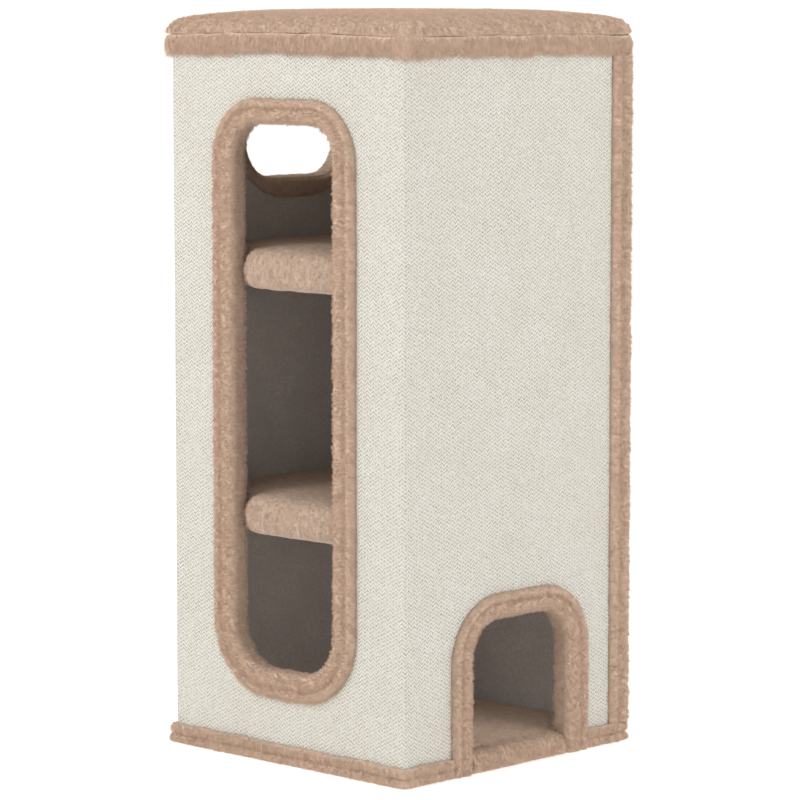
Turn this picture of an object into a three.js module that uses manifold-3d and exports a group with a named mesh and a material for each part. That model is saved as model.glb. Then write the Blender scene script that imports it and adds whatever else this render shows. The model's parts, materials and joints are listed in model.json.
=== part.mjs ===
// A square cat tower: board walls under one woven sisal wrap, plush trims round its openings,
// a crowned plush lid, two padded shelves inside and a plush floor.
// Millimetres, +Z up, standing on z = 0 with the plan centred on the origin.
// -Y wall: tall window. +X wall: door at floor level. -X wall: upper hole. +Y wall: plain.

import * as THREE from 'three';
import { mergeVertices } from 'three/addons/utils/BufferGeometryUtils.js';
import Module from 'manifold-3d';

const wasm = await Module();
wasm.setup();

// Clearance between touching pieces.
const GAP = 0.3;

// Heights of the body.
const BASE_THICK = 16;
const WALL_BOTTOM = BASE_THICK + GAP;
const WALL_TOP = 904.7;
const LID_BOARD = [905, 920];
const LID_SEAM = 935;
const LID_EDGE_TOP = 953;
const TOP = 970;

// Layers of a wall, as distances from the middle of the tower.
const PLUSH_OUT = 218.6;
const MAT_OUT = 210.5;
const MAT_IN = 205.5;
const BOARD_OUT = 205.2;
const BOARD_IN = 196.2;
const LINING_OUT = 195.9;
const LINING_IN = 193.4;
const BATTEN = 18;
const BATTEN_IN = LINING_OUT - BATTEN;

// Plush trims: thickness outside, in the throat of an opening, and inside.
const TRIM_OUT = 7.5;
const TRIM_THROAT = 6;
const TRIM_IN = 6;

// Openings, plush to plush: half width, low z, high z, low corner radius, high corner radius.
const WINDOW = { half: 87, low: 125, high: 827, rLow: 56, rHigh: 40 };
const WINDOW_TRIM = { half: 132, low: 81, high: 861, rLow: 100, rHigh: 82 };
const DOOR = { half: 87, low: -50, high: 197, rLow: 0, rHigh: 46 };
const DOOR_TRIM = { half: 132, low: -50, high: 231, rLow: 0, rHigh: 88 };
const HOLE = { half: 87, low: 746, high: 868, rLow: 44, rHigh: 44 };
const HOLE_TRIM = { half: 132, low: 702, high: 905, rLow: 88, rHigh: 68 };
const INSIDE_FLANGE = 32;

// Plush edges and the joint strip.
const BAND_TOP = 25;
const LID_BAND_BOTTOM = 912;
const STRIP_FROM = 181;
const FLOOR_TOP = 26;

// Shelves: undersides of their covers, and their layers.
const SHELF_LOW = [292, 611];
const SHELF_UNDER = 6;
const SHELF_BOARD = 15;
const SHELF_TALL = 53;
const SHELF_SIDE = 192.8;
const SHELF_FRONT = -183;
const SHELF_LIP = 5.7;
const TONGUE_HALF = 86.4;
const TONGUE_FRONT = -208;
const TONGUE_RADIUS = 22;
const TONGUE_BOARD_HALF = 66;
const TONGUE_BOARD_FRONT = -199.5;
const PASSAGE_FROM = 10;
const PASSAGE_RADIUS = 30;
const CLEAT = 18;

// Screws.
const SCREW_R = 2;
const HEAD_R = 4;
const HEAD_TALL = 3;
const BASE_SCREW = 38;
const CLEAT_SCREW = 27;

const COLOURS = {
  board: [0.62, 0.47, 0.31],
  batten: [0.78, 0.62, 0.42],
  sisal: [0.83, 0.76, 0.62],
  plush: [0.53, 0.43, 0.35],
  lining: [0.45, 0.41, 0.39],
  steel: [0.62, 0.62, 0.64],
};

const group = new THREE.Group();

// --- solids ---------------------------------------------------------------

function solid(geometry) {
  geometry.deleteAttribute('normal');
  geometry.deleteAttribute('uv');
  const merged = mergeVertices(geometry, 1e-5);
  return new wasm.Manifold(new wasm.Mesh({
    numProp: 3,
    vertProperties: new Float32Array(merged.attributes.position.array),
    triVerts: new Uint32Array(merged.index.array),
  }));
}

function add(name, body, colour) {
  const mesh = body.getMesh();
  const geometry = new THREE.BufferGeometry();
  geometry.setAttribute('position', new THREE.BufferAttribute(mesh.vertProperties, 3));
  geometry.setIndex(new THREE.BufferAttribute(mesh.triVerts, 1));
  geometry.computeVertexNormals();
  const metal = colour === 'steel';
  const material = new THREE.MeshStandardMaterial({
    color: new THREE.Color(...COLOURS[colour]),
    roughness: metal ? 0.35 : 0.9,
    metalness: metal ? 1 : 0,
  });
  const node = new THREE.Mesh(geometry, material);
  node.name = name;
  group.add(node);
}

function box(x, y, z) {
  const geometry = new THREE.BoxGeometry(x[1] - x[0], y[1] - y[0], z[1] - z[0]);
  geometry.translate((x[0] + x[1]) / 2, (y[0] + y[1]) / 2, (z[0] + z[1]) / 2);
  return solid(geometry);
}

function corner(points, cx, cy, radius, fromDegrees) {
  if (radius === 0) {
    points.push(new THREE.Vector2(cx, cy));
    return;
  }
  const steps = 8;
  for (let i = 0; i <= steps; i += 1) {
    const angle = THREE.MathUtils.degToRad(fromDegrees + (90 * i) / steps);
    points.push(new THREE.Vector2(cx + radius * Math.cos(angle), cy + radius * Math.sin(angle)));
  }
}

function outline(o, grow = 0) {
  const half = o.half + grow;
  const low = o.low - grow;
  const high = o.high + grow;
  const rLow = o.rLow > 0 ? o.rLow + grow : 0;
  const rHigh = o.rHigh > 0 ? o.rHigh + grow : 0;
  const points = [];
  corner(points, half - rLow, low + rLow, rLow, 270);
  corner(points, half - rHigh, high - rHigh, rHigh, 0);
  corner(points, -half + rHigh, high - rHigh, rHigh, 90);
  corner(points, -half + rLow, low + rLow, rLow, 180);
  return points;
}

// A flat outline made thick: drawn as (along the wall, up), then stood on one of the four walls.
const TURNS = { window: 0, door: 90, plain: 180, hole: 270 };

function onWall(wall, points, from, to) {
  const shape = new THREE.Shape(points);
  const geometry = new THREE.ExtrudeGeometry(shape, { depth: to - from, bevelEnabled: false });
  geometry.translate(0, 0, from);
  geometry.rotateX(Math.PI / 2);
  geometry.rotateZ(THREE.MathUtils.degToRad(TURNS[wall]));
  return solid(geometry);
}

function square(half, radius, z0, z1) {
  const points = outline({ half, low: -half, high: half, rLow: radius, rHigh: radius });
  const shape = new THREE.Shape(points);
  const geometry = new THREE.ExtrudeGeometry(shape, { depth: z1 - z0, bevelEnabled: false });
  geometry.translate(0, 0, z0);
  return solid(geometry);
}

function squareRing(outHalf, radius, inHalf, z0, z1) {
  return square(outHalf, radius, z0, z1).subtract(square(inHalf, 0, z0 - 1, z1 + 1));
}

// --- openings -------------------------------------------------------------

// The hole cut through board, mat and lining leaves room for the plush in its throat.
function cutter(wall, opening) {
  return onWall(wall, outline(opening, TRIM_THROAT + GAP), 150, 260);
}

const CUTS = {
  window: cutter('window', WINDOW),
  door: cutter('door', DOOR),
  hole: cutter('hole', HOLE),
};

// Plush round an opening: a wide flange outside, a throat and a narrower flange inside.
function trim(wall, opening, outer) {
  const outFrom = MAT_OUT + GAP;
  const inTo = LINING_IN - GAP;
  const outside = onWall(wall, outline(outer), outFrom, outFrom + TRIM_OUT);
  const throat = onWall(wall, outline(opening, TRIM_THROAT), inTo - TRIM_IN, outFrom + TRIM_OUT);
  const inside = onWall(wall, outline(opening, INSIDE_FLANGE), inTo - TRIM_IN, inTo);
  const ring = outside.add(throat).add(inside);
  return ring.subtract(onWall(wall, outline(opening), 100, 300));
}

// --- screws ---------------------------------------------------------------

// A countersunk screw: its tip at the origin and its head up +Z, grown for a clearance hole.
function screw(length, grow = 0) {
  const r = SCREW_R + grow;
  const head = HEAD_R + grow;
  const profile = [
    [0, -grow],
    [r * 0.6, -grow],
    [r, 4],
    [r, length - HEAD_TALL],
    [head, length],
  ];
  if (grow > 0) {
    profile.push([head, length + 8]);
  }
  profile.push([0, profile[profile.length - 1][1]]);
  const points = profile.map(([x, y]) => new THREE.Vector2(x, y));
  const geometry = new THREE.LatheGeometry(points, 12);
  geometry.rotateX(Math.PI / 2);
  return geometry;
}

// Every screw: its name, where its tip is before its spin about Z, its turn about Y, and its length.
const SCREWS = [];
const CORNERS = [[1, -1, 'front'], [-1, -1, 'left'], [1, 1, 'right'], [-1, 1, 'back']];
const BATTEN_MID = (LINING_OUT + BATTEN_IN) / 2;
for (const [sx, sy, where] of CORNERS) {
  const x = sx * BATTEN_MID;
  const y = sy * BATTEN_MID;
  SCREWS.push({ name: `screw_base_${where}`, at: [x, y, 1 + BASE_SCREW], turn: 180, length: BASE_SCREW });
  const lidTip = LID_BOARD[1] - 1 - BASE_SCREW;
  SCREWS.push({ name: `screw_lid_${where}`, at: [x, y, lidTip], turn: 0, length: BASE_SCREW });
}

// The strips that carry the shelves, given as on the door wall and spun on to their own.
const CLEATS = [];
for (const [i, level] of ['lower', 'upper'].entries()) {
  const z = [SHELF_LOW[i] - GAP - CLEAT, SHELF_LOW[i] - GAP];
  CLEATS.push({ name: `cleat_${level}_plain_side`, spin: 90, along: [-8, 174], z, screws: [30, 140] });
  CLEATS.push({ name: `cleat_${level}_door_side`, spin: 0, along: [-174, 8], z, screws: [-140, -30] });
}
const CLEAT_OUT = LINING_IN - GAP;
for (const cleat of CLEATS) {
  cleat.screws.forEach((along, i) => {
    const tip = CLEAT_OUT - CLEAT + 1 + CLEAT_SCREW;
    const z = (cleat.z[0] + cleat.z[1]) / 2;
    const name = cleat.name.replace('cleat', 'screw_cleat');
    const at = [tip, along, z];
    SCREWS.push({ name: `${name}_${i + 1}`, at, turn: -90, spin: cleat.spin, length: CLEAT_SCREW });
  });
}

function placedScrew(s, grow = 0) {
  const geometry = screw(s.length, grow);
  geometry.rotateY(THREE.MathUtils.degToRad(s.turn));
  geometry.translate(...s.at);
  geometry.rotateZ(THREE.MathUtils.degToRad(s.spin ?? 0));
  return solid(geometry);
}

function drilled(body, start) {
  let out = body;
  for (const s of SCREWS) {
    if (s.name.startsWith(start)) {
      out = out.subtract(placedScrew(s, GAP));
    }
  }
  return out;
}

// --- boards ---------------------------------------------------------------

const BASE_HALF = 209.7;
add('base_board', drilled(square(BASE_HALF, 3, 0, BASE_THICK), 'screw_base'), 'board');
add('lid_board', drilled(square(BOARD_OUT, 3, ...LID_BOARD), 'screw_lid'), 'board');

const WALL_Z = [WALL_BOTTOM, WALL_TOP];
const SPAN = [-LINING_OUT, LINING_OUT];
const WIDE = [-BOARD_OUT, BOARD_OUT];
const walls = {
  window: box(WIDE, [-BOARD_OUT, -BOARD_IN], WALL_Z).subtract(CUTS.window),
  door: drilled(box([BOARD_IN, BOARD_OUT], SPAN, WALL_Z), 'screw_cleat').subtract(CUTS.door),
  plain: drilled(box(WIDE, [BOARD_IN, BOARD_OUT], WALL_Z), 'screw_cleat'),
  hole: box([-BOARD_OUT, -BOARD_IN], SPAN, WALL_Z).subtract(CUTS.hole),
};
for (const [wall, body] of Object.entries(walls)) {
  add(`wall_${wall}`, body, 'board');
}

function side(sign, near, far) {
  return sign > 0 ? [near, far] : [-far, -near];
}

for (const [sx, sy, where] of CORNERS) {
  const body = box(side(sx, BATTEN_IN, LINING_OUT), side(sy, BATTEN_IN, LINING_OUT), WALL_Z);
  add(`batten_${where}`, drilled(body, 'screw_'), 'batten');
}

for (const cleat of CLEATS) {
  const body = box([CLEAT_OUT - CLEAT, CLEAT_OUT], cleat.along, cleat.z).rotate([0, 0, cleat.spin]);
  add(cleat.name, drilled(body, 'screw_cleat'), 'batten');
}

// --- shelves --------------------------------------------------------------

// Each shelf has a tongue that stands in the window, its front corners rounded.
function tongue(half, front, radius, z) {
  const points = [new THREE.Vector2(half, SHELF_FRONT + 10), new THREE.Vector2(-half, SHELF_FRONT + 10)];
  corner(points, -half + radius, front + radius, radius, 180);
  corner(points, half - radius, front + radius, radius, 270);
  const shape = new THREE.Shape(points);
  const geometry = new THREE.ExtrudeGeometry(shape, { depth: z[1] - z[0], bevelEnabled: false });
  geometry.translate(0, 0, z[0]);
  return solid(geometry);
}

function clearOfBattens(body) {
  let out = body;
  for (const [sx, sy] of CORNERS) {
    const x = side(sx, BATTEN_IN - 0.5, 230);
    const y = side(sy, BATTEN_IN - 0.5, 230);
    out = out.subtract(box(x, y, [-10, 1000]));
  }
  return out;
}

// The way up through a shelf is a square bite out of its corner away from window and hole.
function passage() {
  const points = [];
  corner(points, PASSAGE_FROM + PASSAGE_RADIUS, PASSAGE_FROM + PASSAGE_RADIUS, PASSAGE_RADIUS, 180);
  points.push(new THREE.Vector2(260, PASSAGE_FROM));
  points.push(new THREE.Vector2(260, 260));
  points.push(new THREE.Vector2(PASSAGE_FROM, 260));
  const shape = new THREE.Shape(points);
  return solid(new THREE.ExtrudeGeometry(shape, { depth: 1000, bevelEnabled: false }));
}

const SHELF_X = [-SHELF_SIDE, SHELF_SIDE];
const BOARD_FRONT = SHELF_FRONT + SHELF_LIP + GAP;
for (const [i, level] of ['lower', 'upper'].entries()) {
  const low = SHELF_LOW[i];
  const boardZ = [low + SHELF_UNDER + GAP, low + SHELF_UNDER + GAP + SHELF_BOARD];
  const slotZ = [boardZ[0] - GAP, boardZ[1] + GAP];
  const coverZ = [low, low + SHELF_TALL];
  const boardTongue = tongue(TONGUE_BOARD_HALF, TONGUE_BOARD_FRONT, 12, boardZ);
  const board = box(SHELF_X, [BOARD_FRONT, SHELF_SIDE], boardZ).add(boardTongue);
  const coverTongue = tongue(TONGUE_HALF, TONGUE_FRONT, TONGUE_RADIUS, coverZ);
  const whole = box(SHELF_X, [SHELF_FRONT, SHELF_SIDE], coverZ).add(coverTongue);
  const slotTongue = tongue(TONGUE_BOARD_HALF + GAP, TONGUE_BOARD_FRONT - GAP, 12 + GAP, slotZ);
  const slot = box([-300, 300], [BOARD_FRONT - GAP, 300], slotZ).add(slotTongue);
  add(`shelf_${level}_board`, clearOfBattens(board).subtract(passage()), 'board');
  add(`shelf_${level}_cover`, clearOfBattens(whole.subtract(slot)).subtract(passage()), 'plush');
}

// --- linings and floor ----------------------------------------------------

const LINING_HALF = BATTEN_IN - GAP;
const LINING_Z = [WALL_BOTTOM, WALL_TOP - GAP];
for (const wall of ['window', 'door', 'plain', 'hole']) {
  const panel = { half: LINING_HALF, low: LINING_Z[0], high: LINING_Z[1], rLow: 0, rHigh: 0 };
  let body = onWall(wall, outline(panel), LINING_IN, LINING_OUT);
  if (CUTS[wall]) {
    body = body.subtract(CUTS[wall]);
  }
  add(`lining_${wall}`, drilled(body, 'screw_cleat'), 'lining');
}

const FLOOR_Z = [WALL_BOTTOM, FLOOR_TOP];
const FLOOR_SPAN = [-LINING_IN + GAP, LINING_IN - GAP];
const PLUSH_FACE = MAT_OUT + GAP + TRIM_OUT;
const DOOR_SPAN = [-DOOR.half + GAP, DOOR.half - GAP];
const threshold = box([0, PLUSH_FACE], DOOR_SPAN, FLOOR_Z);
const drop = box([BASE_HALF + GAP, PLUSH_FACE], DOOR_SPAN, [GAP, FLOOR_TOP]);
const floor = clearOfBattens(box(FLOOR_SPAN, FLOOR_SPAN, FLOOR_Z));
add('floor_pad', floor.add(threshold).add(drop), 'plush');

// --- sisal wrap -----------------------------------------------------------

// One sheet bent round the body and the lid board's edge, its ends meeting under the joint strip.
const MAT_TOP = LID_BOARD[1] - 2;
const MAT_Z = [WALL_BOTTOM + GAP, MAT_TOP];
const MEETING = box([MAT_IN - 1, MAT_OUT + 1], [MAT_IN - 2, MAT_IN - 1], [0, 1000]);
const wrap = squareRing(MAT_OUT, 5, MAT_IN, ...MAT_Z);
const openWrap = wrap.subtract(CUTS.window).subtract(CUTS.door).subtract(CUTS.hole);
add('sisal_wrap', openWrap.subtract(MEETING), 'sisal');

// --- plush trims ----------------------------------------------------------

add('trim_window', trim('window', WINDOW, WINDOW_TRIM), 'plush');
add('trim_hole', trim('hole', HOLE, HOLE_TRIM), 'plush');

// The door's plush runs down over the base's edge to the floor, and inside it ends on the pad.
const BAND_IN = MAT_OUT + GAP;
const ACROSS = [-400, 400];
const insideFoot = box([-400, BAND_IN], ACROSS, [-400, FLOOR_TOP + GAP]);
const outsideFoot = box([BAND_IN - 1, 400], ACROSS, [-400, GAP]);
const doorTrim = trim('door', DOOR, DOOR_TRIM).subtract(insideFoot).subtract(outsideFoot);
add('trim_door', doorTrim, 'plush');

const doorGap = box([200, 230], [-DOOR_TRIM.half - GAP, DOOR_TRIM.half + GAP], [-1, BAND_TOP + 1]);
const baseBand = squareRing(PLUSH_OUT, 9, BAND_IN, GAP, BAND_TOP).subtract(doorGap);
add('base_band', baseBand, 'plush');
add('lid_band', squareRing(PLUSH_OUT, 9, BAND_IN, LID_BAND_BOTTOM, LID_SEAM), 'plush');

// The strip over the mat's ends is an L in plan, rounded at its outer corner.
const STRIP_Z = [BAND_TOP + GAP, LID_BAND_BOTTOM - GAP];
const stripCorner = box([STRIP_FROM, 230], [STRIP_FROM, 230], STRIP_Z);
const strip = squareRing(PLUSH_OUT, 9, BAND_IN, ...STRIP_Z).intersect(stripCorner);
add('joint_strip', strip, 'plush');

// --- lid cushion ----------------------------------------------------------

// Rounded squares stacked into a crowned top: half width, corner radius, height.
const CROWN = [
  [PLUSH_OUT - 1, 14, LID_SEAM + GAP],
  [PLUSH_OUT, 15, LID_SEAM + 5],
  [PLUSH_OUT, 15, LID_EDGE_TOP - 7],
  [PLUSH_OUT - 5, 18, LID_EDGE_TOP],
  [PLUSH_OUT - 20, 24, LID_EDGE_TOP + 5],
  [PLUSH_OUT - 60, 40, TOP - 5],
  [PLUSH_OUT - 120, 50, TOP - 1.5],
  [PLUSH_OUT - 170, 40, TOP],
];

function crowned() {
  const rings = CROWN.map(([half, radius, z]) => {
    const points = outline({ half, low: -half, high: half, rLow: radius, rHigh: radius });
    return points.map((p) => [p.x, p.y, z]);
  });
  const count = rings[0].length;
  const positions = rings.flat(2);
  const low = positions.length / 3;
  positions.push(0, 0, CROWN[0][2]);
  positions.push(0, 0, TOP);
  const index = [];
  for (let i = 0; i < count; i += 1) {
    const j = (i + 1) % count;
    index.push(low, j, i);
    const last = (rings.length - 1) * count;
    index.push(low + 1, last + i, last + j);
    for (let k = 0; k < rings.length - 1; k += 1) {
      const a = k * count;
      const b = a + count;
      index.push(a + i, a + j, b + j);
      index.push(a + i, b + j, b + i);
    }
  }
  const geometry = new THREE.BufferGeometry();
  geometry.setAttribute('position', new THREE.Float32BufferAttribute(positions, 3));
  geometry.setIndex(index);
  return solid(geometry);
}

const cushionCore = square(BAND_IN - 2 * GAP, 3, LID_BOARD[1] + GAP, LID_SEAM + 2);
add('lid_cushion', crowned().add(cushionCore), 'plush');

// --- hardware -------------------------------------------------------------

for (const s of SCREWS) {
  add(s.name, placedScrew(s), 'steel');
}

export default group;
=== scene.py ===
"""Looks for a square cat tower: sisal-wrapped walls, plush trims round the openings,
a crowned plush lid, two padded shelves and a plush floor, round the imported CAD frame."""

import json
import math

import bpy
import numpy as np
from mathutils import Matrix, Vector, noise
from mathutils.geometry import delaunay_2d_cdt


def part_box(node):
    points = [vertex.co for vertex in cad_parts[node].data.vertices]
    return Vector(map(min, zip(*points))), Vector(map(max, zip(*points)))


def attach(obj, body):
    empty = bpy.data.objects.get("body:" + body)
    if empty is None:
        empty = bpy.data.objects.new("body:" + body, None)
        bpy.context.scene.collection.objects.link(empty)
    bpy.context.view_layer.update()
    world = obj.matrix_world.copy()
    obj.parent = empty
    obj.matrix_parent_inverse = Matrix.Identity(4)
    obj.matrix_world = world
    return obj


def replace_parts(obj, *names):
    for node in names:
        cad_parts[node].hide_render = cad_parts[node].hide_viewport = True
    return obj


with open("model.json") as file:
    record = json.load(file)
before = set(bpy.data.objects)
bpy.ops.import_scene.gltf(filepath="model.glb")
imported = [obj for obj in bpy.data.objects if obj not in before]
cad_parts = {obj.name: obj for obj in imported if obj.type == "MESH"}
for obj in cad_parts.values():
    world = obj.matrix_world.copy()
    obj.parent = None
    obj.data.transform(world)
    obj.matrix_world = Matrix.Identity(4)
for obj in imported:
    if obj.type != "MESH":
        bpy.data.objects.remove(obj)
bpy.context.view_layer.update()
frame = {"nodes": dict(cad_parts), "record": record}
scene = bpy.context.scene
nodes = frame["nodes"]

MM = 0.001


def node_mm(name):
    """A CAD node's lowest and highest corners, in millimetres."""
    low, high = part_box(name)
    return np.array(low) / MM, np.array(high) / MM


MAT_LOW, MAT_HIGH = node_mm("sisal_wrap")
MAT_HALF = MAT_HIGH[0]
BAND_HALF = 218.0  # about half the width over the plush bands
LINING_IN = -node_mm("lining_window")[1][1]

# --- small tools -------------------------------------------------------------


def link(name, verts, faces):
    """A new smooth-shaded object in the scene; verts in metres."""
    mesh = bpy.data.meshes.new(name)
    mesh.from_pydata([tuple(v) for v in verts], [], [tuple(f) for f in faces])
    mesh.validate()
    mesh.update()
    mesh.shade_smooth()
    obj = bpy.data.objects.new(name, mesh)
    scene.collection.objects.link(obj)
    return obj


def hill(x, a, b):
    """0 below a, 1 above b, smooth between."""
    t = np.clip((x - a) / (b - a), 0, 1)
    return t * t * (3 - 2 * t)


def clump(p, seed):
    """Rough pile height in mm at a point in mm: broad lumps with small tufts on them."""
    q = Vector((p[0] + 131.7 * seed, p[1] - 57.3 * seed, p[2] + 17.9 * seed))
    broad = noise.noise(q / 23.0)
    mid = noise.noise(q / 9.0)
    fine = noise.noise(q / 4.2)
    return 0.75 * broad + 0.65 * mid + 0.5 * fine


def normals_of(points, closed_path):
    """Vertex normals of a grid of points, path by closed section."""
    along = np.roll(points, -1, 0) - np.roll(points, 1, 0)
    if not closed_path:
        along[0] = points[1] - points[0]
        along[-1] = points[-1] - points[-2]
    around = np.roll(points, -1, 1) - np.roll(points, 1, 1)
    n = np.cross(along, around)
    return n / np.maximum(np.linalg.norm(n, axis=2, keepdims=True), 1e-9)


def grid_faces(rows, cols, closed_path, flip):
    """Quads over a grid of points whose columns close on themselves."""
    faces = []
    for i in range(rows if closed_path else rows - 1):
        for j in range(cols):
            a = i * cols + j
            b = ((i + 1) % rows) * cols + j
            c = ((i + 1) % rows) * cols + (j + 1) % cols
            d = i * cols + (j + 1) % cols
            faces.append((a, d, c, b) if flip else (a, b, c, d))
    return faces


# --- the four walls' own directions -------------------------------------------


def on_wall(wall, u, z, d):
    """Points along a wall (u), up (z) and out from the tower's middle (d), in the row frame, mm."""
    u, z, d = np.broadcast_arrays(u, z, d)
    if wall == "window":
        return np.stack([u, -d, z], -1)
    if wall == "door":
        return np.stack([d, u, z], -1)
    if wall == "hole":
        return np.stack([-d, -u, z], -1)
    return np.stack([-u, d, z], -1)


def outline(half, low, high, r_low, r_high, counts, foot=None):
    """A rounded opening as (u, z) points: right side up, top, left side down, bottom.
    foot is the height where an opening with no bottom starts and ends."""
    n_up, n_across, n_arc = counts
    pts = []

    def arc(cx, cy, r, a0):
        for k in range(n_arc):
            a = math.radians(a0 + 90 * k / n_arc)
            pts.append((cx + r * math.cos(a), cy + r * math.sin(a)))

    def line(p, q, n):
        for k in range(n):
            t = k / n
            pts.append((p[0] + (q[0] - p[0]) * t, p[1] + (q[1] - p[1]) * t))

    if foot is None:
        arc(half - r_low, low + r_low, r_low, -90)
        start = low + r_low
    else:
        start = foot
    line((half, start), (half, high - r_high), n_up)
    arc(half - r_high, high - r_high, r_high, 0)
    line((half - r_high, high), (-half + r_high, high), n_across)
    arc(-half + r_high, high - r_high, r_high, 90)
    line((-half, high - r_high), (-half, start), n_up)
    if foot is None:
        arc(-half + r_low, low + r_low, r_low, 180)
        line((-half + r_low, low), (half - r_low, low), n_across)
    else:
        pts.append((-half, start))
    return np.array(pts)


def sweep(name, points, visible, closed_path, seed, rough, flip=False):
    """A closed section swept along a path: points are [path, section, xyz] in mm, and visible is each
    section point's share of the pile's roughness, 0 where it is hidden and carries no pile."""
    rows, cols = points.shape[:2]
    n = normals_of(points, closed_path)
    if flip:
        n = -n
    moved = points.copy()
    for i in range(rows):
        for j in range(cols):
            if visible[j] > 0:
                moved[i, j] += n[i, j] * clump(points[i, j], seed) * visible[j] * rough
    verts = moved.reshape(-1, 3)
    faces = grid_faces(rows, cols, closed_path, flip)
    if not closed_path:
        first = list(range(cols))
        last = [(rows - 1) * cols + j for j in range(cols)]
        faces += [first[::-1], last] if flip else [first, last[::-1]]
    obj = link(name, verts * MM, faces)
    group = obj.vertex_groups.new(name="pile")
    for j in range(cols):
        if visible[j] > 0:
            group.add([i * cols + j for i in range(rows)], float(min(1, visible[j])), "REPLACE")
    return obj


# --- plush trims round the openings -------------------------------------------

SISAL_FACE = MAT_HALF + 0.3
SOFT = 4.0  # the cloth stands this far back from an opening, and its pile fills the rest
INSIDE_ROUND = 0.85  # the inside flange's corners open out by this share of its growth
RIM = 0.9  # the trim's outer edge, as a share of the way from the opening to the flange's edge
DIP = 0.58  # where the trim dips between its outer and inner roll, as such a share
DIP_OUT = 5.9  # how far the dip stands off the mat
OUTER_RISE, OUTER_FALL = 8.8, 2.2  # the outer roll's climb from the mat and its drop to the dip
INNER_RISE, INNER_FALL = 3.0, 6.5  # the inner roll's climb from the dip and its drop to the opening
TUCKED = 5.9  # how far the trim's hidden side lies outside the opening


def grown(shape, by, rounder=0.0):
    """An opening's outline numbers, moved outwards."""
    half, low, high, r_low, r_high = shape
    return (half + by, low - by, high + by, r_low + by + rounder, r_high + by + rounder)


def trim_section():
    """A trim's section: (share of the flange's outline or None, growth from the opening, out, shown)."""
    s = []
    inner = LINING_IN - 0.3
    for k in range(9):
        x = k / 8
        rise = math.sin(math.pi / 2 * min(x / 0.5, 1)) ** 0.75 if x > 0 else 0
        fall = OUTER_FALL * float(hill(x, 0.6, 1.0)) ** 1.6
        s.append((RIM - (RIM - DIP) * x, 0, SISAL_FACE - 0.7 + OUTER_RISE * rise - fall, 1))
    for k in range(1, 10):
        x = k / 9
        rise = math.sin(math.pi / 2 * min(x / 0.4, 1)) ** 1.1
        fall = INNER_FALL * (1 - math.sqrt(max(0, 1 - max(0, (x - 0.4) / 0.6) ** 2)))
        s.append((DIP * (1 - x), SOFT * x, SISAL_FACE + DIP_OUT + INNER_RISE * rise - fall, 1))
    for grow, drop in ((0.1, 1.5), (0.4, 4.5), (0.8, 8), (1.1, 11)):
        s.append((None, SOFT + grow, SISAL_FACE - drop, 0.7))
    for grow, d in ((2.0, inner + 3.2), (2.6, inner + 1.5), (3.6, inner - 0.6), (5.8, inner - 2.6)):
        s.append((None, SOFT + grow - 0.5, d, 0.4))
    for k in range(1, 9):
        x = k / 8
        g = 8 + 23.5 * x
        s.append((None, g, inner - 4.6 * math.sqrt(max(0, 1 - x**3)) + 0.1, 1 if k < 8 else 0.4))
    s += [(None, grow, inner, 0) for grow in (24, TUCKED)]
    s += [(None, TUCKED, d, 0) for d in (SISAL_FACE - 9, SISAL_FACE)]
    s += [(share, 0, SISAL_FACE, 0) for share in (0.5, RIM - 0.08)]
    return s


def plush_trim(name, wall, inside, outside, counts, seed, foot=None, lean=0.0):
    """inside and outside are (half, low, high, low radius, high radius) of the opening and the flange,
    counts the points up, across and round a corner. lean is how far the flange sits off the middle."""
    section = trim_section()
    wide = outline(*outside, counts, foot) + np.array([lean, 0])
    cols = []
    for share, grow, d, _ in section:
        if share is None:
            p = outline(*grown(inside, grow, INSIDE_ROUND * max(0, grow - 6)), counts, foot)
        else:
            p = outline(*grown(inside, grow), counts, foot) * (1 - share) + wide * share
        cols.append(on_wall(wall, p[:, 0], p[:, 1], d))
    points = np.stack(cols, 1)
    return sweep(name, points, [v for *_, v in section], foot is None, seed, rough=0.55)


def opening_of(node, side, over, under, r_high, r_low):
    """The trim node's outer box, and the opening inside it, both as outline numbers."""
    low, high = node_mm(node)
    half = (high - low)[:2].max() / 2
    wide = (half, low[2], high[2])
    return wide, (half - side, low[2] + under, high[2] - over, r_low, r_high)


WINDOW_WIDE, WINDOW = opening_of("trim_window", side=45, over=37.5, under=44, r_high=40, r_low=56)
HOLE_WIDE, HOLE = opening_of("trim_hole", side=45, over=37, under=48, r_high=44, r_low=44)
DOOR_WIDE, DOOR = opening_of("trim_door", side=44, over=36.5, under=0, r_high=46, r_low=46)
WINDOW_FLANGE = (*WINDOW_WIDE, 100, 82)
HOLE_FLANGE = (*HOLE_WIDE, 88, 68)
DOOR_FLANGE = (DOOR_WIDE[0] + 2.5, *DOOR_WIDE[1:], 90, 90)
DOOR_FOOT = DOOR_WIDE[1] + 0.3

trims = [
    plush_trim("plush_window_trim", "window", WINDOW, WINDOW_FLANGE, (170, 16, 22), seed=1, lean=-2.0),
    plush_trim("plush_hole_trim", "hole", HOLE, HOLE_FLANGE, (14, 24, 18), seed=2),
    plush_trim("plush_door_trim", "door", DOOR, DOOR_FLANGE, (42, 22, 20), seed=3, foot=DOOR_FOOT, lean=5.5),
]
hole_trim = trims[1]
for piece, node in zip(trims, ("trim_window", "trim_hole", "trim_door")):
    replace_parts(piece, node)


# --- bands of plush round base and lid, and the strip over the mat's joint ------


SIDE_POINTS, CORNER_POINTS = 120, 8  # along a side and round a corner of a band's path


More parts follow.
